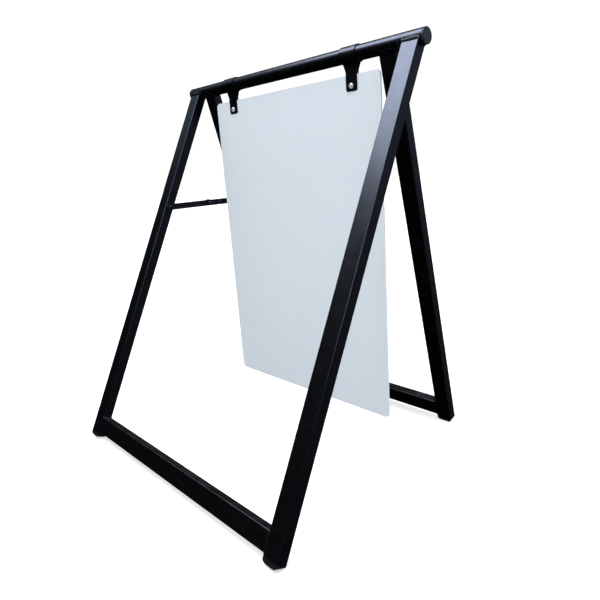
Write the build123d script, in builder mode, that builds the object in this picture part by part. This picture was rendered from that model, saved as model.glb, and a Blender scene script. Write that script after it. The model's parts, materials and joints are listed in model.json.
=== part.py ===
from build123d import *
import os
from math import cos, radians, sin, sqrt

os.makedirs("parts", exist_ok=True)

# Sandwich board: a steel A-frame with a white panel that swings from its top bar.
# Millimetres and degrees. X runs along the top bar, -Y is the front, +Z is up, z = 0 is the floor.
# The origin is under the middle of the outline that the open board covers.

# ---------------------------------------------------------------- driving dimensions
# Frame tube, the wide face to the front and the back
TUBE_W = 42.0
TUBE_D = 25.0
TUBE_WALL = 1.5
TUBE_R = 2.5

# Front frame: outer width, lean, and the distance from the bar's axis to the crossbar's lower edge
FRONT_WIDTH = 807.0
FRONT_LEAN = 26.3
FRONT_REACH = 1015.0

# Rear frame: narrower, so that it folds inside the front frame
REAR_WIDTH = 683.0
REAR_LEAN = 13.8

# Top bar
BAR_D = 32.0
BAR_WALL = 1.5
BAR_HALF = 353.0
SLEEVE_END = 407.0
SPINDLE_D = 25.0
SPINDLE_WALL = 2.0
SPINDLE_END = 405.0

# Nylon bushes between the top tube and the spindle
BUSH_LENGTH = 30.0
BUSH_FLANGE = 1.0
BUSH_FLANGE_D = 31.6
RUNNING = 0.05
GAP = 0.3

# Bar caps
CAP_D = 32.0
CAP_T = 5.0
CAP_EDGE = 1.0
CAP_INSERT = 14.0
CAP_WALL = 2.0
CAP_RING_R = 12.5
CAP_RING_W = 0.8
CAP_RING_DEPTH = 0.4
CAP_FLOOR = 3.5

# Feet: plastic plugs in the ends of the legs, each with a flat sole on the floor
STUB = 5.0
FOOT_HEAD = 13.0
FOOT_END_W = 42.2
FOOT_SIDE_R = 7.0
SOLE_CUT = 1.2
FOOT_INSERT = 22.0
FOOT_CLEAR = 0.2
FOOT_WALL = 2.2
FOOT_RIB = 1.2
FOOT_RIBS = 3

# Sign panel
PANEL_W = 595.0
PANEL_H = 800.0
PANEL_T = 4.0
PANEL_R = 12.0
PANEL_DROP = 40.0
PANEL_HOLE_CLEAR = 0.2

# Hangers: 2 mm sheet wrapped over the bar, a plate on each face of the panel
HANGER_X = 218.0
HANGER_T = 2.0
HANGER_COLLAR_W = 46.0
HANGER_STRAP_W = 32.0
HANGER_TAPER_TOP = 16.5
HANGER_TAPER_END = 33.0
HANGER_DROP = 74.0
HANGER_CORNER_R = 5.0
HANGER_CLEAR = 0.08
HANGER_BEND = 3.0
HANGER_HOLE_CLEAR = 0.1

# Hanger screws, M6
SCREW_D = 6.0
SCREW_DROP = 62.7
SCREW_HEAD_D = 12.0
SCREW_HEAD_H = 4.0
SCREW_DOME = 3.4
SCREW_SOCKET = 4.0
SCREW_SOCKET_DEPTH = 2.2
WASHER_D = 12.5
WASHER_T = 1.2
WASHER_CLEAR = 0.2
NUT_AF = 10.0
NUT_T = 5.0
THREAD_SHOWING = 1.3

# Sleeve grub screws, M6, on the back of the sleeves
GRUB_X = 382.5
GRUB_SOCKET = 3.0
GRUB_SOCKET_DEPTH = 2.0
GRUB_INSET = 0.2

# Folding stay on the left side: distances of its end pivots from the bar's axis
STAY_FRONT_R = 352.5
STAY_REAR_R = 321.5
LINK_W = 17.0
LINK_T = 2.5
LINK_EYE_R = 10.5
LINK_GROOVE_W = 6.0
LINK_GROOVE_DEPTH = 0.6
LINK_GROOVE_INSET = 26.0
STAY_PIN_R = 3.0
LEG_HOLE_CLEAR = 0.1
STAY_WASHER_R = 10.0
STAY_WASHER_T = 1.3
RIVET_HEAD_R = 5.0
RIVET_HEAD_T = 2.5
RIVET_DOME = 2.0
RIVET_TAIL_T = 1.0
RIVET_UPSET = 2.0
STOP_PLATE_T = 1.5
STOP_PLATE_R = 7.5
STOP_RIVET_R = 2.0
STOP_RIVET_HEAD_R = 4.0
STOP_RIVET_HEAD_T = 2.0
STOP_RIVET_DOME = 1.6
STOP_SPACING = 37.8
LUG_NEAR = 2.0
LUG_FAR = 12.0
NOTCH_AT = 30.0
NOTCH_R = 2.5
SPACER_R = 6.0
RIVNUT_R = 4.5
RIVNUT_FLANGE_T = 0.8
RIVNUT_LENGTH = 14.0

# ---------------------------------------------------------------- worked-out dimensions
BAR_R = BAR_D / 2
BORE_R = BAR_R - BAR_WALL
SPINDLE_R = SPINDLE_D / 2
FRONT_INNER = FRONT_WIDTH / 2 - TUBE_W
REAR_HALF = REAR_WIDTH / 2
REAR_INNER = REAR_HALF - TUBE_W
INNER_W = TUBE_W - 2 * TUBE_WALL
INNER_D = TUBE_D - 2 * TUBE_WALL
INNER_R = TUBE_R - TUBE_WALL
BUSH_FACE = BAR_HALF + BUSH_FLANGE
SLEEVE_START = BUSH_FACE + GAP


def foot_drop(lean):
    """Height of the centre of a leaning foot's rear rounding above the floor, less its offset."""
    return (TUBE_D / 2 - FOOT_SIDE_R) * sin(radians(lean)) + FOOT_SIDE_R - SOLE_CUT


# All four soles touch the floor, so the front frame sets the bar's height and the height sets
# the rear frame's reach.
FOOT_REACH = STUB + FOOT_HEAD - FOOT_SIDE_R
AXIS_Z = (FRONT_REACH + FOOT_REACH) * cos(radians(FRONT_LEAN)) + foot_drop(FRONT_LEAN)
REAR_REACH = (AXIS_Z - foot_drop(REAR_LEAN)) / cos(radians(REAR_LEAN)) - FOOT_REACH
AXIS_Y = 113.99

SIDES = {"left": -1, "right": 1}
BAR = Plane(origin=(0, AXIS_Y, AXIS_Z), x_dir=(1, 0, 0), z_dir=(0, -1, 0))


def frame_plane(lean):
    """Middle plane of a leaning frame: X along the bar, Y up the legs, Z out of its front."""
    normal = (0, -cos(radians(lean)), sin(radians(lean)))
    return Plane(origin=BAR.origin, x_dir=(1, 0, 0), z_dir=normal)


FRONT = frame_plane(FRONT_LEAN)
REAR = frame_plane(-REAR_LEAN)

# The stay is straight when the board is open: its knee lies on the line between its end pivots.
# When the board is shut, both links lie along the legs, one over the other.
STAY_A = FRONT.from_local_coords(Vector(0, -STAY_FRONT_R, 0))
STAY_B = REAR.from_local_coords(Vector(0, -STAY_REAR_R, 0))
STAY_SPAN = (STAY_B - STAY_A).length
KNEE = (STAY_SPAN + STAY_FRONT_R - STAY_REAR_R) / 2
STAY_DIR = (STAY_B - STAY_A).normalized()

# Layers of the stay along X, from the front leg's inner face towards the middle
LINK1_X = -FRONT_INNER + STAY_WASHER_T + GAP
LINK2_X = LINK1_X + LINK_T + GAP
PLATE_X = LINK2_X + LINK_T
KNEE_HEAD_X = PLATE_X + STOP_PLATE_T + GAP
RIVNUT_X = -REAR_HALF - RIVNUT_FLANGE_T
SPACER_END_X = RIVNUT_X - GAP

# Layers of a hanger along Y, from the middle of the panel
PLATE_FACE = PANEL_T / 2 + HANGER_T
NUT_FACE = PLATE_FACE + WASHER_T
SCREW_Z = AXIS_Z - SCREW_DROP


def save(piece, label):
    """Name a finished piece and write it."""
    piece.part.label = label
    export_step(piece.part, f"parts/{label}.step")


def turned(planes, corners):
    """Bodies turned about the X axis of each plane, from the corners (x, radius) of a half section."""
    with BuildPart() as body:
        for plane in planes:
            with BuildSketch(plane):
                with BuildLine():
                    Polyline(*corners, close=True)
                make_face()
            revolve(axis=Axis(plane.origin, plane.x_dir))
    return body


def across(plane, x, reach):
    """Plane square to a leg with centre line x, at a distance reach below the bar's axis."""
    origin = plane.from_local_coords(Vector(x, -reach, 0))
    return Plane(origin=origin, x_dir=(1, 0, 0), z_dir=plane.y_dir)


def along_x(x, y, z):
    """Plane square to the bar, its Z along the bar."""
    return Plane(origin=(x, y, z), x_dir=(0, 1, 0), z_dir=(1, 0, 0))


def towards_back(x, y, z):
    """Upright plane, its X along the bar and its Z towards the back of the board."""
    return Plane(origin=(x, y, z), x_dir=(1, 0, 0), z_dir=(0, 1, 0))


def stay_layer(x):
    """Plane of the stay at x: X from the front pivot to the rear pivot, Z along the bar."""
    return Plane(origin=(x, STAY_A.Y, STAY_A.Z), x_dir=STAY_DIR, z_dir=(1, 0, 0))


def stay_pivot(along):
    """Plane through a pivot of the stay, its X along the bar."""
    centre = stay_layer(0).from_local_coords(Vector(along, 0, 0))
    return Plane(origin=(0, centre.Y, centre.Z), x_dir=(1, 0, 0), z_dir=(0, -1, 0))


# ---------------------------------------------------------------- frame tubes
def tube_section(plane):
    """Section of the rectangular frame tube, its wide side along the plane's X."""
    with BuildSketch(plane) as section:
        RectangleRounded(TUBE_W, TUBE_D, TUBE_R)
        RectangleRounded(INNER_W, INNER_D, INNER_R, mode=Mode.SUBTRACT)
    return section


def leg(plane, centre_x, reach, hole=None):
    """Leg, coped at its top to sit on the round bar, with a hole (centre, radius) in one side."""
    length = reach + STUB
    with BuildPart() as tube:
        extrude(tube_section(across(plane, centre_x, length)).sketch, amount=length)
        with Locations(Plane(origin=BAR.origin, z_dir=(1, 0, 0))):
            Cylinder(BAR_R, 2 * SLEEVE_END, mode=Mode.SUBTRACT)
        if hole:
            centre, radius = hole
            with Locations(Plane(origin=centre, z_dir=(1, 0, 0))):
                Cylinder(radius, 4 * TUBE_WALL, mode=Mode.SUBTRACT)
    return tube


def crossbar(plane, half_length, reach):
    """Crossbar, butted between the inner faces of two legs."""
    start = plane.from_local_coords(Vector(-half_length, TUBE_W / 2 - reach, 0))
    with BuildPart() as tube:
        end_plane = Plane(origin=start, x_dir=plane.y_dir, z_dir=(1, 0, 0))
        extrude(tube_section(end_plane).sketch, amount=2 * half_length)
    return tube


def foot(plane, centre_x, reach):
    """Plug for a leg's end: a domed head with a flat sole, and a ribbed hollow insert."""
    mouth = across(plane, centre_x, reach + STUB)
    end = across(plane, centre_x, reach + STUB + FOOT_HEAD)
    with BuildPart() as plug:
        with BuildSketch(end):
            RectangleRounded(TUBE_W, TUBE_D, TUBE_R)
        extrude(amount=FOOT_HEAD)
        # dome the head across the leg's width
        with BuildSketch(Plane(origin=end.origin, x_dir=end.x_dir, z_dir=-end.y_dir)):
            with Locations((0, FOOT_HEAD)):
                Ellipse(FOOT_END_W / 2, FOOT_HEAD)
        extrude(amount=TUBE_D, both=True, mode=Mode.INTERSECT)
        # round its front and back
        with BuildSketch(Plane(origin=end.origin, x_dir=end.y_dir, z_dir=end.x_dir)):
            with Locations((0, FOOT_HEAD)):
                RectangleRounded(TUBE_D, 2 * FOOT_HEAD, FOOT_SIDE_R)
        extrude(amount=TUBE_W, both=True, mode=Mode.INTERSECT)
        # cut the flat sole at the floor
        with Locations((end.origin.X, end.origin.Y, -TUBE_W)):
            Box(2 * TUBE_W, 2 * TUBE_W, 2 * TUBE_W, mode=Mode.SUBTRACT)
        with BuildSketch(mouth):
            RectangleRounded(INNER_W - 2 * FOOT_CLEAR, INNER_D - 2 * FOOT_CLEAR, INNER_R)
        extrude(amount=FOOT_INSERT)
        for rib in range(1, FOOT_RIBS + 1):
            with BuildSketch(mouth.offset(rib * FOOT_INSERT / (FOOT_RIBS + 1))):
                RectangleRounded(INNER_W, INNER_D, INNER_R)
            extrude(amount=FOOT_RIB)
        with BuildSketch(mouth):
            RectangleRounded(INNER_W - 2 * FOOT_WALL, INNER_D - 2 * FOOT_WALL, INNER_R / 2)
        extrude(amount=FOOT_INSERT, mode=Mode.SUBTRACT)
    return plug


front_rivet_hole = (Vector(-FRONT_INNER, STAY_A.Y, STAY_A.Z), STAY_PIN_R + LEG_HOLE_CLEAR)
rear_rivnut_hole = (Vector(-REAR_HALF, STAY_B.Y, STAY_B.Z), RIVNUT_R)

for side_name, side in SIDES.items():
    front_x = side * (FRONT_INNER + TUBE_W / 2)
    rear_x = side * (REAR_INNER + TUBE_W / 2)
    on_stay_side = side_name == "left"
    front_leg = leg(FRONT, front_x, FRONT_REACH, front_rivet_hole if on_stay_side else None)
    save(front_leg, f"front_leg_{side_name}")
    rear_leg = leg(REAR, rear_x, REAR_REACH, rear_rivnut_hole if on_stay_side else None)
    save(rear_leg, f"rear_leg_{side_name}")
    front_foot = foot(FRONT, front_x, FRONT_REACH)
    save(front_foot, f"front_foot_{side_name}")
    rear_foot = foot(REAR, rear_x, REAR_REACH)
    save(rear_foot, f"rear_foot_{side_name}")

front_crossbar = crossbar(FRONT, FRONT_INNER, FRONT_REACH)
save(front_crossbar, "front_crossbar")

rear_crossbar = crossbar(REAR, REAR_INNER, REAR_REACH)
save(rear_crossbar, "rear_crossbar")

# ---------------------------------------------------------------- top bar and hinge
# The top tube belongs to the rear frame. The spindle runs through it and carries the sleeves.
top_tube = turned(
    [BAR],
    [(-BAR_HALF, BORE_R), (-BAR_HALF, BAR_R), (BAR_HALF, BAR_R), (BAR_HALF, BORE_R)],
)
save(top_tube, "top_tube")

spindle_bore = SPINDLE_R - SPINDLE_WALL
hinge_spindle = turned(
    [BAR],
    [
        (-SPINDLE_END, spindle_bore),
        (-SPINDLE_END, SPINDLE_R),
        (SPINDLE_END, SPINDLE_R),
        (SPINDLE_END, spindle_bore),
    ],
)
save(hinge_spindle, "hinge_spindle")

for side_name, side in SIDES.items():
    # flanged nylon bush pressed into the top tube's end
    hinge_bush = turned(
        [BAR],
        [
            (side * (BAR_HALF - BUSH_LENGTH), SPINDLE_R + RUNNING),
            (side * (BAR_HALF - BUSH_LENGTH), BORE_R),
            (side * BAR_HALF, BORE_R),
            (side * BAR_HALF, BUSH_FLANGE_D / 2),
            (side * BUSH_FACE, BUSH_FLANGE_D / 2),
            (side * BUSH_FACE, SPINDLE_R + RUNNING),
        ],
    )
    save(hinge_bush, f"hinge_bush_{side_name}")

    # thick sleeve welded on the front leg and fixed to the spindle by a grub screw at its back
    with BuildPart() as hinge_sleeve:
        with BuildSketch(along_x(side * SLEEVE_START, AXIS_Y, AXIS_Z)):
            Circle(BAR_R)
            Circle(SPINDLE_R, mode=Mode.SUBTRACT)
        extrude(amount=side * (SLEEVE_END - SLEEVE_START))
        with BuildSketch(towards_back(side * GRUB_X, AXIS_Y, AXIS_Z)):
            Circle(SCREW_D / 2)
        extrude(amount=BAR_D, mode=Mode.SUBTRACT)
    save(hinge_sleeve, f"hinge_sleeve_{side_name}")

    # cap with a hollow insert, a flange over the sleeve's end and a fine ring on its face
    flange_x = side * SLEEVE_END
    face_x = side * (SLEEVE_END + CAP_T)
    groove_x = side * (SLEEVE_END + CAP_T - CAP_RING_DEPTH)
    tip_x = side * (SPINDLE_END - CAP_INSERT)
    floor_x = side * (SLEEVE_END + CAP_T - CAP_FLOOR)
    bar_cap = turned(
        [BAR],
        [
            (tip_x, spindle_bore - CAP_WALL),
            (tip_x, spindle_bore),
            (side * SPINDLE_END, spindle_bore),
            (side * SPINDLE_END, SPINDLE_R),
            (flange_x, SPINDLE_R),
            (flange_x, CAP_D / 2),
            (face_x, CAP_D / 2),
            (face_x, CAP_RING_R + CAP_RING_W),
            (groove_x, CAP_RING_R + CAP_RING_W),
            (groove_x, CAP_RING_R),
            (face_x, CAP_RING_R),
            (face_x, 0),
            (floor_x, 0),
            (floor_x, spindle_bore - CAP_WALL),
        ],
    )
    with bar_cap:
        rims = bar_cap.edges().filter_by(GeomType.CIRCLE)
        fillet(rims.filter_by(lambda rim: abs(rim.radius - CAP_D / 2) < RUNNING), CAP_EDGE)
    save(bar_cap, f"bar_cap_{side_name}")

grub_planes = [
    Plane(origin=(side * GRUB_X, AXIS_Y, AXIS_Z), x_dir=(0, 1, 0), z_dir=(1, 0, 0))
    for side in SIDES.values()
]
grub_top = BAR_R - GRUB_INSET
sleeve_grub_screws = turned(
    grub_planes,
    [(SPINDLE_R, 0), (SPINDLE_R, SCREW_D / 2), (grub_top, SCREW_D / 2), (grub_top, 0)],
)
with sleeve_grub_screws:
    with BuildSketch(towards_back(0, AXIS_Y + grub_top, AXIS_Z)) as sockets:
        with Locations((GRUB_X, 0), (-GRUB_X, 0)):
            RegularPolygon(GRUB_SOCKET / sqrt(3), 6)
    extrude(sockets.sketch, amount=-GRUB_SOCKET_DEPTH, mode=Mode.SUBTRACT)
save(sleeve_grub_screws, "sleeve_grub_screws")

# ---------------------------------------------------------------- hanging sign
with BuildPart() as sign_panel:
    with BuildSketch(BAR):
        with Locations((0, -PANEL_DROP - PANEL_H / 2)):
            RectangleRounded(PANEL_W, PANEL_H, PANEL_R)
        with Locations((HANGER_X, -SCREW_DROP), (-HANGER_X, -SCREW_DROP)):
            Circle(SCREW_D / 2 + PANEL_HOLE_CLEAR, mode=Mode.SUBTRACT)
    extrude(amount=PANEL_T / 2, both=True)
save(sign_panel, "sign_panel")


def wrap(start_x, radius, half_gap, drop, bend, mode):
    """Round bar wrap that necks down to a straight tail, as wide as the hanger's collar."""
    with BuildSketch(along_x(start_x, AXIS_Y, AXIS_Z)) as outline:
        Circle(radius)
        with Locations((0, -drop / 2)):
            Rectangle(2 * half_gap, drop)
        neck = outline.vertices().filter_by_position(Axis.Y, -radius, -radius / 2)
        fillet(neck, bend)
    extrude(outline.sketch, amount=HANGER_COLLAR_W, mode=mode)


# half width and height of a hanger's edge, from its top to its bottom
hanger_edge = [
    (HANGER_COLLAR_W / 2, BAR_D),
    (HANGER_COLLAR_W / 2, -HANGER_TAPER_TOP),
    (HANGER_STRAP_W / 2, -HANGER_TAPER_END),
    (HANGER_STRAP_W / 2, -HANGER_DROP),
]

for side_name, side in SIDES.items():
    start_x = side * HANGER_X - HANGER_COLLAR_W / 2
    collar_r = BAR_R + HANGER_CLEAR
    with BuildPart() as hanger:
        wrap(start_x, collar_r + HANGER_T, PLATE_FACE, HANGER_DROP, HANGER_BEND, Mode.ADD)
        wrap(
            start_x,
            collar_r,
            PANEL_T / 2,
            HANGER_DROP + HANGER_T,
            HANGER_BEND + HANGER_T,
            Mode.SUBTRACT,
        )
        # front view: a wide collar that tapers to the strap, with rounded bottom corners
        middle = side * HANGER_X
        right_edge = [(middle + half_w, y) for half_w, y in hanger_edge]
        left_edge = [(middle - half_w, y) for half_w, y in reversed(hanger_edge)]
        with BuildSketch(BAR) as front_view:
            with BuildLine():
                Polyline(*right_edge, *left_edge, close=True)
            make_face()
            fillet(front_view.vertices().group_by(Axis.Y)[0], HANGER_CORNER_R)
        extrude(amount=BAR_D, both=True, mode=Mode.INTERSECT)
        with BuildSketch(BAR):
            with Locations((side * HANGER_X, -SCREW_DROP)):
                Circle(SCREW_D / 2 + HANGER_HOLE_CLEAR)
        extrude(amount=BAR_D, both=True, mode=Mode.SUBTRACT)
    save(hanger, f"hanger_{side_name}")

screw_planes = [
    Plane(origin=(side * HANGER_X, AXIS_Y, SCREW_Z), x_dir=(0, 1, 0), z_dir=(1, 0, 0))
    for side in SIDES.values()
]
head_face = -PLATE_FACE - SCREW_HEAD_H
hanger_screws = turned(
    screw_planes,
    [
        (head_face, 0),
        (head_face, SCREW_HEAD_D / 2),
        (-PLATE_FACE, SCREW_HEAD_D / 2),
        (-PLATE_FACE, SCREW_D / 2),
        (NUT_FACE + NUT_T + THREAD_SHOWING, SCREW_D / 2),
        (NUT_FACE + NUT_T + THREAD_SHOWING, 0),
    ],
)
with hanger_screws:
    fillet(hanger_screws.edges().group_by(Axis.Y)[0], SCREW_DOME)
    with BuildSketch(towards_back(0, AXIS_Y + head_face, SCREW_Z)) as sockets:
        with Locations((HANGER_X, 0), (-HANGER_X, 0)):
            RegularPolygon(SCREW_SOCKET / sqrt(3), 6)
    extrude(sockets.sketch, amount=SCREW_SOCKET_DEPTH, mode=Mode.SUBTRACT)
save(hanger_screws, "hanger_screws")

hanger_washers = turned(
    screw_planes,
    [
        (PLATE_FACE, SCREW_D / 2 + WASHER_CLEAR),
        (PLATE_FACE, WASHER_D / 2),
        (NUT_FACE, WASHER_D / 2),
        (NUT_FACE, SCREW_D / 2 + WASHER_CLEAR),
    ],
)
save(hanger_washers, "hanger_washers")

with BuildPart() as hanger_nuts:
    with BuildSketch(towards_back(0, AXIS_Y + NUT_FACE, SCREW_Z)):
        with Locations((HANGER_X, 0), (-HANGER_X, 0)):
            RegularPolygon(NUT_AF / sqrt(3), 6)
            Circle(SCREW_D / 2, mode=Mode.SUBTRACT)
    extrude(amount=NUT_T)
save(hanger_nuts, "hanger_nuts")

# ---------------------------------------------------------------- folding stay
with BuildPart() as stay_front_link:
    with BuildSketch(stay_layer(LINK1_X)):
        with Locations((KNEE / 2, 0)):
            SlotOverall(KNEE + LINK_W, LINK_W)
        Circle(LINK_EYE_R)
        Circle(STAY_PIN_R + RUNNING, mode=Mode.SUBTRACT)
        with Locations((KNEE, 0)):
            Circle(STAY_PIN_R, mode=Mode.SUBTRACT)
    extrude(amount=LINK_T)
    # pressed groove along the face that shows
    with BuildSketch(stay_layer(LINK1_X + LINK_T)):
        with Locations((KNEE / 2, 0)):
            SlotOverall(KNEE - 2 * LINK_GROOVE_INSET, LINK_GROOVE_W)
    extrude(amount=-LINK_GROOVE_DEPTH, mode=Mode.SUBTRACT)
save(stay_front_link, "stay_front_link")

with BuildPart() as stay_rear_link:
    with BuildSketch(stay_layer(LINK2_X)):
        with Locations(((KNEE + STAY_SPAN) / 2, 0)):
            SlotOverall(STAY_SPAN - KNEE + LINK_W, LINK_W)
        with Locations((KNEE, 0)):
            Circle(STAY_PIN_R + RUNNING, mode=Mode.SUBTRACT)
        with Locations((KNEE + STOP_SPACING, 0)):
            Circle(STOP_RIVET_R, mode=Mode.SUBTRACT)
        with Locations((STAY_SPAN, 0)):
            Circle(STAY_PIN_R, mode=Mode.SUBTRACT)
        with Locations((KNEE + NOTCH_AT, -LINK_W / 2)):
            Circle(NOTCH_R, mode=Mode.SUBTRACT)
    extrude(amount=LINK_T)
save(stay_rear_link, "stay_rear_link")

# The stop plate's lug lies over both links and stops the knee from dropping past straight.
lug_low = LINK_W / 2 + GAP
lug_high = lug_low + STOP_PLATE_T
lug_centre = KNEE - (LUG_NEAR + LUG_FAR) / 2
lug_length = LUG_FAR - LUG_NEAR
with BuildPart() as stay_stop_plate:
    with BuildSketch(stay_layer(PLATE_X)):
        with Locations((KNEE + STOP_SPACING / 2, 0)):
            SlotOverall(STOP_SPACING + 2 * STOP_PLATE_R, 2 * STOP_PLATE_R)
        with Locations((KNEE - LUG_FAR / 2, lug_high / 2)):
            Rectangle(LUG_FAR, lug_high)
        with Locations((KNEE, 0)):
            Circle(STAY_PIN_R + RUNNING, mode=Mode.SUBTRACT)
        with Locations((KNEE + STOP_SPACING, 0)):
            Circle(STOP_RIVET_R, mode=Mode.SUBTRACT)
    extrude(amount=STOP_PLATE_T)
    with BuildSketch(stay_layer(LINK1_X)):
        with Locations((lug_centre, (lug_low + lug_high) / 2)):
            Rectangle(lug_length, STOP_PLATE_T)
    extrude(amount=PLATE_X + STOP_PLATE_T - LINK1_X)
save(stay_stop_plate, "stay_stop_plate")


def dome(rivet, radius):
    """Round the rim of a rivet's shown head, which is the end nearest the middle of the board."""
    with rivet:
        fillet(rivet.edges().group_by(Axis.X)[-1], radius)


front_head_x = LINK1_X + LINK_T + GAP
front_inside_x = -FRONT_INNER - TUBE_WALL
stay_front_rivet = turned(
    [stay_pivot(0)],
    [
        (front_inside_x - RIVET_UPSET, 0),
        (front_inside_x - RIVET_UPSET, RIVET_HEAD_R),
        (front_inside_x, RIVET_HEAD_R),
        (front_inside_x, STAY_PIN_R),
        (front_head_x, STAY_PIN_R),
        (front_head_x, RIVET_HEAD_R),
        (front_head_x + RIVET_HEAD_T, RIVET_HEAD_R),
        (front_head_x + RIVET_HEAD_T, 0),
    ],
)
dome(stay_front_rivet, RIVET_DOME)
save(stay_front_rivet, "stay_front_rivet")

stay_front_washer = turned(
    [stay_pivot(0)],
    [
        (-FRONT_INNER, STAY_PIN_R),
        (-FRONT_INNER, STAY_WASHER_R),
        (-FRONT_INNER + STAY_WASHER_T, STAY_WASHER_R),
        (-FRONT_INNER + STAY_WASHER_T, STAY_PIN_R),
    ],
)
save(stay_front_washer, "stay_front_washer")

stay_knee_rivet = turned(
    [stay_pivot(KNEE)],
    [
        (LINK1_X - RIVET_TAIL_T, 0),
        (LINK1_X - RIVET_TAIL_T, RIVET_HEAD_R),
        (LINK1_X, RIVET_HEAD_R),
        (LINK1_X, STAY_PIN_R),
        (KNEE_HEAD_X, STAY_PIN_R),
        (KNEE_HEAD_X, RIVET_HEAD_R),
        (KNEE_HEAD_X + RIVET_HEAD_T, RIVET_HEAD_R),
        (KNEE_HEAD_X + RIVET_HEAD_T, 0),
    ],
)
dome(stay_knee_rivet, RIVET_DOME)
save(stay_knee_rivet, "stay_knee_rivet")

stop_head_x = PLATE_X + STOP_PLATE_T
stay_stop_rivet = turned(
    [stay_pivot(KNEE + STOP_SPACING)],
    [
        (LINK2_X, 0),
        (LINK2_X, STOP_RIVET_R),
        (stop_head_x, STOP_RIVET_R),
        (stop_head_x, STOP_RIVET_HEAD_R),
        (stop_head_x + STOP_RIVET_HEAD_T, STOP_RIVET_HEAD_R),
        (stop_head_x + STOP_RIVET_HEAD_T, 0),
    ],
)
dome(stay_stop_rivet, STOP_RIVET_DOME)
save(stay_stop_rivet, "stay_stop_rivet")

stay_rear_rivet = turned(
    [stay_pivot(STAY_SPAN)],
    [(LINK2_X, 0), (LINK2_X, STAY_PIN_R), (SPACER_END_X, STAY_PIN_R), (SPACER_END_X, 0)],
)
save(stay_rear_rivet, "stay_rear_rivet")

stay_rear_spacer = turned(
    [stay_pivot(STAY_SPAN)],
    [(PLATE_X, STAY_PIN_R), (PLATE_X, SPACER_R), (SPACER_END_X, SPACER_R), (SPACER_END_X, STAY_PIN_R)],
)
save(stay_rear_spacer, "stay_rear_spacer")

# blind nut in the rear left leg that the stay's rear pivot meets
stay_rear_rivnut = turned(
    [stay_pivot(STAY_SPAN)],
    [
        (RIVNUT_X, STAY_PIN_R + RUNNING),
        (RIVNUT_X, SPACER_R),
        (-REAR_HALF, SPACER_R),
        (-REAR_HALF, RIVNUT_R),
        (RIVNUT_X + RIVNUT_LENGTH, RIVNUT_R),
        (RIVNUT_X + RIVNUT_LENGTH, STAY_PIN_R + RUNNING),
    ],
)
save(stay_rear_rivnut, "stay_rear_rivnut")
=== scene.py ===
import json
import math
import random

import bmesh
import bpy
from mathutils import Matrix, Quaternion, Vector


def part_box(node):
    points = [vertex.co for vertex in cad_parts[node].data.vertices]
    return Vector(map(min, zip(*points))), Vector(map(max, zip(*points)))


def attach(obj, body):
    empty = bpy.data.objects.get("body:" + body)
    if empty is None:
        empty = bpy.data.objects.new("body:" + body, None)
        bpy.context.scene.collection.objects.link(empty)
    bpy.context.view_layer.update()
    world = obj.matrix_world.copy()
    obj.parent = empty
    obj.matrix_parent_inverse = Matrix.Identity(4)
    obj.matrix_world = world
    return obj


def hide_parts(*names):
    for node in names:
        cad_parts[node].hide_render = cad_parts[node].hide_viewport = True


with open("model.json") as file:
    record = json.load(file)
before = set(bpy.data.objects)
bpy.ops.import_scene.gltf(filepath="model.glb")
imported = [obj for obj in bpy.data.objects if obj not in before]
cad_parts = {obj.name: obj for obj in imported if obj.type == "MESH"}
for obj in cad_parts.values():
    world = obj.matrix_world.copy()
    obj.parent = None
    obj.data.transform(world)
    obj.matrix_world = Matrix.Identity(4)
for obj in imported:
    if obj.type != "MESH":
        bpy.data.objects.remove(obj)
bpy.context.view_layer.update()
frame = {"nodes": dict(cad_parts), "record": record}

# Sandwich board: a powder-coated steel A-frame with a white panel that swings from its top bar.
# Metres. X runs along the bar, -Y is the front, +Z is up.

MM = 0.001
SEED = 7

# ---------------------------------------------------------------- places read from the frame
SLOT_OF = {part["node"]: part["material_slot"] for part in frame["record"]["subparts"]}
BODY_OF = {
    node: body for body, nodes in frame["record"]["behaviour"]["bodies"].items() for node in nodes
}


def middle(node):
    """Centre of a CAD node's box."""
    low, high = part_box(node)
    return (low + high) / 2


def size(node):
    """Size of a CAD node's box."""
    low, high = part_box(node)
    return high - low


BAR = middle("top_tube")
BAR_R = size("top_tube").z / 2
LEG_W = size("front_leg_right").x
LEG_D = 25 * MM
LEG_CORNER_R = 2.5 * MM

# ---------------------------------------------------------------- camera
CAMERA_AT = Vector((1.0238, -0.8069, 0.6901))
CAMERA_HEADING = math.radians(134.827)
CAMERA_TILT = math.radians(-15.256)
CAMERA_ROLL = math.radians(-3.176)
LENS_MM = 30.936
SENSOR_MM = 36.0
SHIFT = (-0.0494, 0.0181)


def make_camera():
    """The camera, turned to its heading and tilt and then rolled about its own view."""
    data = bpy.data.cameras.new("camera")
    data.sensor_width = SENSOR_MM
    data.lens = LENS_MM
    data.shift_x, data.shift_y = SHIFT
    data.clip_start, data.clip_end = 0.05, 100.0
    camera = bpy.data.objects.new("camera", data)
    bpy.context.scene.collection.objects.link(camera)
    ahead = Vector(
        (
            math.cos(CAMERA_TILT) * math.cos(CAMERA_HEADING),
            math.cos(CAMERA_TILT) * math.sin(CAMERA_HEADING),
            math.sin(CAMERA_TILT),
        )
    )
    camera.rotation_mode = "QUATERNION"
    camera.location = CAMERA_AT
    camera.rotation_quaternion = ahead.to_track_quat("-Z", "Y") @ Quaternion((0, 0, 1), CAMERA_ROLL)
    bpy.context.scene.camera = camera


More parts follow.
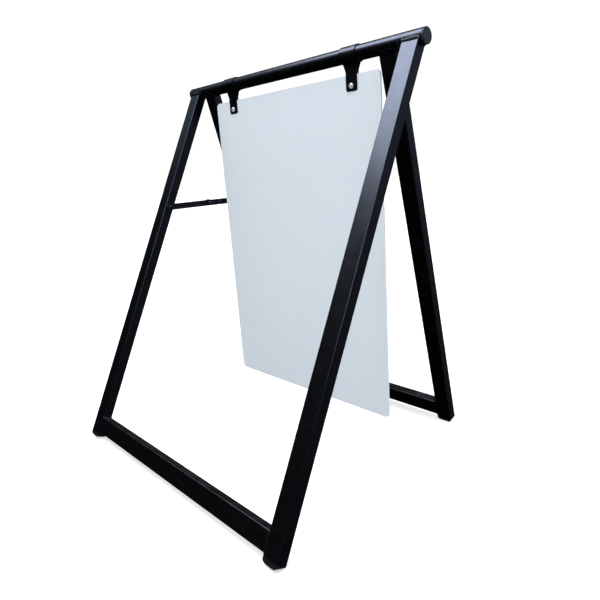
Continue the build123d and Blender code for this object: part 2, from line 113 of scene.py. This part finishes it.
# ---------------------------------------------------------------- node materials
class Shader:
    """A material's node tree, with short calls to add nodes and join them."""

    def __init__(self, name):
        self.material = bpy.data.materials.new(name)
        self.material.use_nodes = True
        self.tree = self.material.node_tree
        self.tree.nodes.clear()
        self.surface = self.node("ShaderNodeBsdfPrincipled")
        output = self.node("ShaderNodeOutputMaterial")
        self.tree.links.new(self.surface.outputs["BSDF"], output.inputs["Surface"])
        self.place = self.node("ShaderNodeTexCoord").outputs["Object"]

    def node(self, kind, settings=None, **inputs):
        """Adds a node. Inputs are values or sockets, by name with _ for a space."""
        made = self.tree.nodes.new(kind)
        for key, value in (settings or {}).items():
            setattr(made, key, value)
        for key, value in inputs.items():
            self.put(made.inputs[key.replace("_", " ")], value)
        return made

    def put(self, socket, value):
        """Joins a socket to another, or sets its value."""
        if isinstance(value, bpy.types.NodeSocket):
            self.tree.links.new(value, socket)
        else:
            socket.default_value = value

    def set(self, **inputs):
        """Sets or joins sockets of the surface shader."""
        for key, value in inputs.items():
            self.put(self.surface.inputs[key.replace("_", " ")], value)

    def noise(self, scale, detail=3.0, roughness=0.5, stretch=None):
        """Noise from 0 to 1; scale is in features per metre, stretch scales its axes."""
        place = self.place
        if stretch:
            place = self.node("ShaderNodeMapping", Vector=place, Scale=stretch).outputs["Vector"]
        texture = self.node(
            "ShaderNodeTexNoise", Vector=place, Scale=scale, Detail=detail, Roughness=roughness
        )
        return texture.outputs["Fac"]

    def ramp(self, value, low, high, to_low=0.0, to_high=1.0):
        """Maps low..high to to_low..to_high, held at both ends."""
        made = self.node("ShaderNodeMapRange", {"interpolation_type": "SMOOTHSTEP"}, Value=value)
        for key, number in zip(("From Min", "From Max", "To Min", "To Max"), (low, high, to_low, to_high)):
            made.inputs[key].default_value = number
        return made.outputs["Result"]

    def math(self, operation, first, second=0.0):
        """Arithmetic on two values or sockets."""
        made = self.node("ShaderNodeMath", {"operation": operation})
        self.put(made.inputs[0], first)
        self.put(made.inputs[1], second)
        return made.outputs["Value"]

    def mix(self, factor, first, second):
        """Mixes two colours."""
        made = self.node("ShaderNodeMix", {"data_type": "RGBA"})
        for socket, value in zip((made.inputs[0], made.inputs[6], made.inputs[7]), (factor, first, second)):
            self.put(socket, value)
        return made.outputs[2]

    def edges(self, radius):
        """1 on edges, 0 on flat and gently curved faces."""
        soft = self.node("ShaderNodeBevel", {"samples": 4}, Radius=radius).outputs["Normal"]
        true = self.node("ShaderNodeNewGeometry").outputs["Normal"]
        dot = self.node("ShaderNodeVectorMath", {"operation": "DOT_PRODUCT"})
        self.put(dot.inputs[0], soft)
        self.put(dot.inputs[1], true)
        return self.ramp(dot.outputs["Value"], 0.995, 0.93)

    def facing_up(self):
        """1 where the surface faces up at rest, 0 on its sides and below."""
        normal = self.node("ShaderNodeTexCoord").outputs["Normal"]
        parts = self.node("ShaderNodeSeparateXYZ", Vector=normal)
        return self.ramp(parts.outputs["Z"], 0.35, 0.95)

    def bump(self, height, distance, strength=1.0, under=None):
        """A normal bent by a height, on top of another bump if one is given."""
        made = self.node("ShaderNodeBump", Height=height, Distance=distance, Strength=strength)
        if under is not None:
            self.put(made.inputs["Normal"], under)
        return made.outputs["Normal"]


def powder_coat():
    """Semi-gloss black powder coat: orange peel, faint grime on top faces that doubles as painted top
    light, duller rubbed edges that are lighter, partly wear and partly a painted edge highlight.
    """
    paint = Shader("frame_paint_look")
    peel = paint.noise(420.0, 2.0, 0.4)
    grain = paint.noise(1800.0, 1.0)
    patches = paint.noise(14.0, 4.0, 0.6)
    streaks = paint.noise(60.0, 3.0, 0.6)
    black = paint.mix(patches, (0.0002, 0.0003, 0.0005, 1), (0.0005, 0.0007, 0.0012, 1))
    # Dust on the faces that point up, made strong enough to also paint light onto the lit top faces.
    dust_and_top_light = paint.math("MULTIPLY", paint.facing_up(), paint.ramp(streaks, 0.35, 0.75, 0.1, 0.55))
    dusty_and_top_lit = paint.mix(paint.math("MULTIPLY", dust_and_top_light, 0.5), black, (0.10, 0.107, 0.105, 1))
    # Lighter rubbed edges: partly paint wear and partly a painted edge highlight where the rounded corners
    # catch the light.
    rub_and_edge_highlight = paint.math("MULTIPLY", paint.edges(1.2 * MM), paint.ramp(streaks, 0.45, 0.7))
    worn_and_edge_lit = paint.mix(paint.math("MULTIPLY", rub_and_edge_highlight, 0.4), dusty_and_top_lit, (0.018, 0.021, 0.026, 1))
    gloss = paint.ramp(paint.noise(35.0, 5.0, 0.65), 0.3, 0.7, 0.285, 0.335)
    rough = paint.math("ADD", gloss, paint.math("MULTIPLY", dust_and_top_light, 0.15))
    peel_bump = paint.bump(peel, 0.05 * MM, 0.3)
    paint.set(
        Base_Color=worn_and_edge_lit,
        Roughness=rough,
        IOR=1.42,
        Normal=paint.bump(grain, 0.01 * MM, 0.2, peel_bump),
    )
    return paint.material


def white_sheet():
    """Smooth white plastic sheet: very faint waves, handling marks and a trace of dust."""
    sheet = Shader("panel_look")
    waves = sheet.noise(2.2, 2.0, 0.4)
    marks = sheet.noise(24.0, 6.0, 0.7)
    lines = sheet.noise(90.0, 2.0, 0.5, stretch=(1.0, 1.0, 0.04))
    tone = sheet.mix(waves, (0.575, 0.622, 0.673, 1), (0.60, 0.647, 0.698, 1))
    smear = sheet.mix(sheet.ramp(marks, 0.62, 0.8, 0.0, 0.25), tone, (0.545, 0.586, 0.625, 1))
    rough = sheet.math("ADD", sheet.ramp(marks, 0.4, 0.7, 0.16, 0.24), sheet.math("MULTIPLY", lines, 0.05))
    fine = sheet.bump(sheet.noise(700.0, 2.0), 0.004 * MM, 0.3)
    sheet.set(
        Base_Color=smear,
        Roughness=rough,
        IOR=1.46,
        Subsurface_Weight=0.08,
        Subsurface_Radius=(0.004, 0.004, 0.0045),
        Subsurface_Scale=1.0,
        Normal=sheet.bump(waves, 2.0 * MM, 0.25, fine),
    )
    return sheet.material


def moulded_plastic(name, deep, pale):
    """Black moulded plastic with a fine spark-eroded grain and scuffed edges."""
    plastic = Shader(name)
    grain = plastic.noise(2600.0, 2.0, 0.6)
    patches = plastic.noise(40.0, 4.0, 0.6)
    scuffs = plastic.math("MULTIPLY", plastic.edges(0.8 * MM), plastic.ramp(patches, 0.4, 0.7))
    black = plastic.mix(patches, deep, pale)
    plastic.set(
        Base_Color=plastic.mix(plastic.math("MULTIPLY", scuffs, 0.5), black, (0.05, 0.05, 0.055, 1)),
        Roughness=plastic.ramp(patches, 0.3, 0.7, 0.42, 0.55),
        IOR=1.5,
        Normal=plastic.bump(grain, 0.02 * MM, 0.5),
    )
    return plastic.material


def nylon():
    """Black nylon with turning marks."""
    bush = Shader("nylon_look")
    marks = bush.noise(500.0, 2.0, 0.5, stretch=(6.0, 1.0, 1.0))
    patches = bush.noise(60.0, 3.0)
    bush.set(
        Base_Color=bush.mix(patches, (0.018, 0.019, 0.021, 1), (0.03, 0.031, 0.034, 1)),
        Roughness=bush.ramp(marks, 0.3, 0.7, 0.4, 0.5),
        IOR=1.53,
        Normal=bush.bump(marks, 0.02 * MM, 0.4),
    )
    return bush.material


def zinc_plate(name, deep, pale, smooth, dull, metal):
    """Zinc plate with a fine grain and slightly dulled patches."""
    zinc = Shader(name)
    grain = zinc.noise(1500.0, 3.0, 0.6)
    patches = zinc.noise(220.0, 4.0, 0.6)
    zinc.set(
        Base_Color=zinc.mix(patches, deep, pale),
        Metallic=metal,
        Roughness=zinc.ramp(patches, 0.3, 0.75, smooth, dull),
        Normal=zinc.bump(grain, 0.01 * MM, 0.5),
    )
    return zinc.material


LOOKS = {
    "frame_paint": powder_coat(),
    "panel_white": white_sheet(),
    "black_plastic": moulded_plastic(
        "black_plastic_look", (0.0015, 0.0018, 0.003, 1), (0.004, 0.0046, 0.007, 1)
    ),
    "nylon": nylon(),
    "zinc_steel": zinc_plate(
        "zinc_look", (0.62, 0.63, 0.65, 1), (0.76, 0.77, 0.78, 1), 0.18, 0.34, 0.6
    ),
    "black_zinc": zinc_plate(
        "black_zinc_look", (0.05, 0.053, 0.06, 1), (0.09, 0.094, 0.10, 1), 0.28, 0.42, 1.0
    ),
}
# Bar caps: a lighter, bluer copy of the black plastic, which paints light onto their lit end faces.
LIT_CAP_LOOK = moulded_plastic("lit_cap_look", (0.002, 0.0035, 0.009, 1), (0.004, 0.006, 0.013, 1))


# ---------------------------------------------------------------- pieces
SAME_POINT = 0.001 * MM
FLAT_WITHIN = math.radians(0.2)


def new_piece(name, mesh, slot, body):
    """Puts a mesh in the scene as a piece that rides on a body."""
    piece = bpy.data.objects.new(name, mesh)
    bpy.context.scene.collection.objects.link(piece)
    mesh.materials.clear()
    mesh.materials.append(LOOKS[slot])
    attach(piece, body)
    return piece


def weigh_normals(mesh, blend_below=50.0):
    """Corner normals that lean to the large faces, so that flat faces beside a rounded edge stay flat."""
    limit = math.cos(math.radians(blend_below))
    faces_at = [[] for _ in mesh.vertices]
    for face in mesh.polygons:
        for corner in face.vertices:
            faces_at[corner].append((face.normal.copy(), face.area))
    normals = []
    for face in mesh.polygons:
        for corner in face.vertices:
            total = Vector()
            for normal, area in faces_at[corner]:
                if normal.dot(face.normal) > limit:
                    total += normal * area
            normals.append(total.normalized() if total.length > 0 else face.normal.copy())
    mesh.shade_smooth()
    mesh.normals_split_custom_set(normals)


def rounded_copy(node, width, segments=2, sharp_above=35.0):
    """A node's mesh with its sharp edges rounded, which stands for the node."""
    body = bmesh.new()
    body.from_mesh(frame["nodes"][node].data)
    bmesh.ops.remove_doubles(body, verts=body.verts, dist=SAME_POINT)
    bmesh.ops.dissolve_limit(
        body, angle_limit=FLAT_WITHIN, verts=body.verts, edges=body.edges, delimit={"NORMAL"}
    )
    limit = math.radians(sharp_above)
    sharp = [edge for edge in body.edges if edge.is_manifold and edge.calc_face_angle(0.0) > limit]
    bmesh.ops.bevel(
        body, geom=sharp, offset=width, offset_type="OFFSET", segments=segments, profile=0.5,
        affect="EDGES", clamp_overlap=True,
    )
    mesh = bpy.data.meshes.new(f"{node}_rounded")
    body.to_mesh(mesh)
    body.free()
    weigh_normals(mesh)
    piece = new_piece(f"{node}_rounded", mesh, SLOT_OF[node], BODY_OF[node])
    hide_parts(node)
    return piece


# ---------------------------------------------------------------- welds
# A bead swells by a share of its size with its ripples, and wanders in a sum of slow waves. The saddle
# weld is where a leg meets the bar, and the butt weld is where a crossbar meets a leg.
RIPPLE_PITCH = 1.6 * MM
BEAD_STEP = 0.4 * MM
BEAD_SIDES = 16
BEAD_LEAST = 0.92
RIPPLE_SHARE = 0.16
WANDER_WAVES = 8
WANDER_SHARE = 0.3
WANDER_LIFT = 0.15
SADDLE_HALF_WIDTH = 2.0 * MM
SADDLE_SPREAD = {"front": 3.5 * MM, "rear": 2.0 * MM}
SADDLE_HEIGHT = 1.5 * MM
BUTT_HALF_WIDTH = 1.7 * MM
BUTT_HEIGHT = 1.4 * MM
BUTT_INSET = 0.9 * MM
BUTT_LEAN = 0.8


def frame_axes(crossbar):
    """Down the legs and out of the face of the frame whose crossbar is named."""
    low = middle(crossbar)
    down = Vector((0, low.y - BAR.y, low.z - BAR.z)).normalized()
    return down, Vector((1, 0, 0)).cross(down)


def bead(name, body, path):
    """A closed weld bead along a path, with ripples and a slight wander.

    Each step of the path is a point, the way out of the joint, and the bead's half width and height.
    """
    random_ripple = random.Random(f"{SEED}{name}")
    form = bmesh.new()
    rings = []
    count = len(path)
    travelled = 0.0
    phase = random_ripple.uniform(0, math.tau)
    wander = [random_ripple.uniform(-1, 1) for _ in range(WANDER_WAVES)]
    for index, (point, outward, half_width, height) in enumerate(path):
        along = (path[(index + 1) % count][0] - path[index - 1][0]).normalized()
        travelled += (point - path[index - 1][0]).length if index else 0.0
        side = along.cross(outward).normalized()
        out = side.cross(along).normalized()
        ripple = abs(math.sin(travelled / RIPPLE_PITCH * math.pi + phase))
        turn = math.tau * index / count
        waves = (amount * math.sin((wave + 1) * turn + wave) for wave, amount in enumerate(wander))
        drift = sum(waves) / WANDER_WAVES
        swell = BEAD_LEAST + RIPPLE_SHARE * ripple + WANDER_SHARE * drift
        centre = point + out * height * WANDER_LIFT * drift
        ring = []
        for step in range(BEAD_SIDES):
            angle = math.tau * step / BEAD_SIDES
            over = side * half_width * math.cos(angle) + out * height * math.sin(angle)
            ring.append(form.verts.new(centre + over * swell))
        rings.append(ring)
    for ring, following in zip(rings, rings[1:] + rings[:1]):
        for step in range(BEAD_SIDES):
            after = (step + 1) % BEAD_SIDES
            form.faces.new((ring[step], ring[after], following[after], following[step]))
    bmesh.ops.recalc_face_normals(form, faces=form.faces)
    mesh = bpy.data.meshes.new(name)
    form.to_mesh(mesh)
    form.free()
    mesh.shade_smooth()
    return new_piece(name, mesh, "frame_paint", body)


def rounded_outline(width, depth, corner, step):
    """Points and outward normals round a rounded rectangle, evenly spaced."""
    outline = []
    for turn in range(4):
        heading = turn * math.pi / 2
        run = Vector((math.cos(heading), math.sin(heading)))
        out = Vector((run.y, -run.x))
        half_run, half_out = (width / 2, depth / 2) if turn % 2 == 0 else (depth / 2, width / 2)
        straight = 2 * (half_run - corner)
        runs = max(1, round(straight / step))
        for index in range(runs):
            place = -straight / 2 + straight * index / runs
            outline.append((run * place + out * half_out, out))
        bends = max(2, round(corner * math.pi / 2 / step))
        centre = run * (half_run - corner) + out * (half_out - corner)
        for index in range(bends):
            angle = math.pi / 2 * index / bends
            normal = out * math.cos(angle) + run * math.sin(angle)
            outline.append((centre + normal * corner, normal))
    return outline


def saddle_weld(side, end):
    """Bead where a leg's coped end meets the round bar, spread flat over the leg's two wide faces."""
    leg = f"{end}_leg_{side}"
    down, face = frame_axes(f"{end}_crossbar")
    across = Vector((1, 0, 0))
    path = []
    for spot, out in rounded_outline(LEG_W, LEG_D, LEG_CORNER_R, BEAD_STEP):
        drop = math.sqrt(BAR_R**2 - spot.y**2)
        point = Vector((middle(leg).x, BAR.y, BAR.z)) + across * spot.x + face * spot.y + down * drop
        from_bar = face * spot.y / BAR_R + down * drop / BAR_R
        outward = (across * out.x + face * out.y + from_bar).normalized()
        half_width = SADDLE_HALF_WIDTH + SADDLE_SPREAD[end] * out.y**2
        path.append((point, outward, half_width, SADDLE_HEIGHT))
    bead(f"weld_{leg}", f"{end}_frame", path)


def butt_weld(side, end):
    """Bead round a crossbar's end where it meets the inner side of a leg."""
    leg = f"{end}_leg_{side}"
    crossbar = f"{end}_crossbar"
    down, face = frame_axes(crossbar)
    centre = middle(crossbar)
    inwards = -math.copysign(1, middle(leg).x) * Vector((1, 0, 0))
    centre.x = math.copysign(size(crossbar).x / 2, middle(leg).x)
    path = []
    for spot, out in rounded_outline(LEG_W, LEG_D, LEG_CORNER_R, BEAD_STEP):
        inset = BUTT_INSET * abs(out.y)
        outward = down * out.x + face * out.y
        point = centre + down * spot.x + face * spot.y - outward * inset
        outward = (outward + inwards * (1 - BUTT_LEAN * abs(out.y))).normalized()
        path.append((point, outward, BUTT_HALF_WIDTH, BUTT_HEIGHT))
    bead(f"weld_{crossbar}_{leg}", f"{end}_frame", path)


def make_welds():
    """A bead at the top of each leg and at both ends of each crossbar."""
    for side in ("left", "right"):
        for weld in (saddle_weld, butt_weld):
            for end in ("front", "rear"):
                weld(side, end)


# ---------------------------------------------------------------- rounded edges
# How far each piece's sharp edges are cut back.
ROUNDED = {
    "sign_panel": 0.6 * MM,
    "top_tube": 0.65 * MM,
    "hanger_nuts": 0.3 * MM,
    "hanger_washers": 0.2 * MM,
    "stay_front_link": 0.4 * MM,
    "stay_rear_link": 0.4 * MM,
    "stay_stop_plate": 0.3 * MM,
}
for one_side in ("left", "right"):
    ROUNDED[f"hanger_{one_side}"] = 0.45 * MM
    ROUNDED[f"hinge_sleeve_{one_side}"] = 0.9 * MM
    for one_end in ("front", "rear"):
        ROUNDED[f"{one_end}_leg_{one_side}"] = 0.35 * MM
        ROUNDED[f"{one_end}_foot_{one_side}"] = 0.5 * MM


def round_edges():
    """Rounded copies. The panel's is left out of reflections, so that the legs beside it stay dark."""
    for node, width in ROUNDED.items():
        piece = rounded_copy(node, width)
        if node == "sign_panel":
            piece.visible_glossy = False


def finish_nodes():
    """Materials for the CAD nodes that show. The bar caps get a lighter, bluer copy of the black plastic,
    painted light for their lit end faces.
    """
    for node, obj in frame["nodes"].items():
        for material_slot in obj.material_slots:
            material_slot.material = LIT_CAP_LOOK if node.startswith("bar_cap") else LOOKS[SLOT_OF[node]]


# ---------------------------------------------------------------- stage
FLOOR_REACH = 30.0
FLOOR_GLOW = 0.5

# White seen by the camera, even light on the object, and what its gloss reflects: dark but for a glow
# round one direction, given as places on the cosine to that direction and the glow's strength there.
SEEN_STRENGTH = 1.05
EVEN_STRENGTH = 0.515
EVEN_COLOUR = (0.92, 0.965, 1.0, 1)
REFLECTED_COLOUR = (0.55, 0.70, 1.0, 1)
REFLECTED_SIDE = (0.745, 0.447, 0.496)
REFLECTED_GLOW = ((0.0, 0.004), (0.25, 0.012), (0.5, 0.12), (0.68, 0.16), (0.84, 0.38))

# Lamps that only the gloss sees: name, diameter, radiance, colour, direction from the bar.
LAMP_DISTANCE = 3.0
LAMPS = (
    ("light_lamp", 2.6, 15.5, (0.66, 0.755, 1.0), (-0.32, -0.36, 0.875)),
    ("light_rim", 1.2, 14.0, (0.75, 0.85, 1.0), (0.36, -0.8, 0.42)),
    ("light_side", 0.9, 0.6, (0.6, 0.8, 1.0), (-0.83, -0.3, 0.47)),
    ("light_back", 1.6, 6.0, (0.8, 0.88, 1.0), (0.5, 0.6, 0.62)),
)

# The lights that the gloss doesn't see.
FILL_ACROSS = 0.9
FILL_WATTS = 14.0
FILL_COLOUR = (0.96, 0.98, 1.0)
FILL_FROM = (0.35, -0.6, 0.8)
FILL_DISTANCE = 2.0
SUN_STRENGTH = 2.1
SUN_ANGLE = math.radians(70)
SUN_COLOUR = (1.0, 0.99, 0.97)
SUN_FROM = (0.12, 0.05, 0.99)


def add_light(name, data, direction, distance=0.0):
    """A light that faces the bar from a direction."""
    light = bpy.data.objects.new(name, data)
    bpy.context.scene.collection.objects.link(light)
    outward = Vector(direction).normalized()
    light.location = BAR + outward * distance
    light.rotation_mode = "QUATERNION"
    light.rotation_quaternion = outward.to_track_quat("Z", "Y")
    return light


def make_floor():
    """A plain pale floor that glows a little, so that it stays as white as the background."""
    mesh = bpy.data.meshes.new("floor")
    corners = [(x * FLOOR_REACH, y * FLOOR_REACH, 0) for x, y in ((-1, -1), (1, -1), (1, 1), (-1, 1))]
    mesh.from_pydata(corners, [], [(0, 1, 2, 3)])
    floor = bpy.data.objects.new("floor", mesh)
    bpy.context.scene.collection.objects.link(floor)
    pale = Shader("floor_look")
    tone = pale.noise(1.5, 4.0)
    pale.set(
        Base_Color=pale.mix(tone, (0.90, 0.905, 0.91, 1), (0.93, 0.93, 0.93, 1)),
        Roughness=0.8,
        Specular_IOR_Level=0.2,
        Emission_Color=(1, 1, 1, 1),
        Emission_Strength=FLOOR_GLOW,
    )
    mesh.materials.append(pale.material)
    floor.visible_glossy = False


def make_world():
    """White behind the object, even light on it, and a glow from the back right in reflections."""
    world = bpy.data.worlds.new("studio")
    bpy.context.scene.world = world
    world.use_nodes = True
    tree = world.node_tree
    tree.nodes.clear()
    path = tree.nodes.new("ShaderNodeLightPath")
    direction = tree.nodes.new("ShaderNodeVectorMath")
    direction.operation = "DOT_PRODUCT"
    direction.inputs[1].default_value = REFLECTED_SIDE
    place = tree.nodes.new("ShaderNodeTexCoord")
    tree.links.new(place.outputs["Generated"], direction.inputs[0])
    glow = tree.nodes.new("ShaderNodeValToRGB")
    glow.color_ramp.interpolation = "EASE"
    while len(glow.color_ramp.elements) < len(REFLECTED_GLOW):
        glow.color_ramp.elements.new(1.0)
    for element, (position, level) in zip(glow.color_ramp.elements, REFLECTED_GLOW):
        element.position = position
        element.color = (level, level, level, 1)
    tree.links.new(direction.outputs["Value"], glow.inputs["Fac"])
    even, reflected, seen = (tree.nodes.new("ShaderNodeBackground") for _ in range(3))
    even.inputs["Color"].default_value = EVEN_COLOUR
    even.inputs["Strength"].default_value = EVEN_STRENGTH
    reflected.inputs["Color"].default_value = REFLECTED_COLOUR
    tree.links.new(glow.outputs["Color"], reflected.inputs["Strength"])
    seen.inputs["Strength"].default_value = SEEN_STRENGTH
    seen.inputs["Color"].default_value = (1, 1, 1, 1)
    result = even.outputs[0]
    for ray, shade in (("Is Glossy Ray", reflected), ("Is Camera Ray", seen)):
        mix = tree.nodes.new("ShaderNodeMixShader")
        tree.links.new(path.outputs[ray], mix.inputs[0])
        tree.links.new(result, mix.inputs[1])
        tree.links.new(shade.outputs[0], mix.inputs[2])
        result = mix.outputs[0]
    output = tree.nodes.new("ShaderNodeOutputWorld")
    tree.links.new(result, output.inputs["Surface"])


def add_lamp(name, size_across, radiance, colour, direction):
    """A round lamp, seen only in reflections."""
    data = bpy.data.lights.new(name, "AREA")
    data.shape = "DISK"
    data.size = size_across
    data.energy = radiance * math.pi * math.pi * (size_across / 2) ** 2
    data.color = colour
    lamp = add_light(name, data, direction, LAMP_DISTANCE)
    lamp.visible_camera = False
    lamp.visible_diffuse = False


def add_fill():
    """A soft light above the front, which makes the top of the panel a little brighter than its foot."""
    data = bpy.data.lights.new("light_fill", "AREA")
    data.shape = "DISK"
    data.size = FILL_ACROSS
    data.energy = FILL_WATTS
    data.color = FILL_COLOUR
    fill = add_light("light_fill", data, FILL_FROM, FILL_DISTANCE)
    fill.visible_camera = False
    fill.visible_glossy = False


def add_sun():
    """A wide soft sun from nearly overhead, which lights the floor."""
    data = bpy.data.lights.new("light_sun", "SUN")
    data.energy = SUN_STRENGTH
    data.angle = SUN_ANGLE
    data.color = SUN_COLOUR
    sun = add_light("light_sun", data, SUN_FROM)
    sun.visible_glossy = False


def make_lights():
    """The lamps that give the gloss, then the lights that brighten the panel and the floor."""
    for lamp in LAMPS:
        add_lamp(*lamp)
    add_fill()
    add_sun()


make_camera()
make_welds()
round_edges()
finish_nodes()
make_floor()
make_world()
make_lights()
bpy.context.scene.view_settings.view_transform = "Standard"
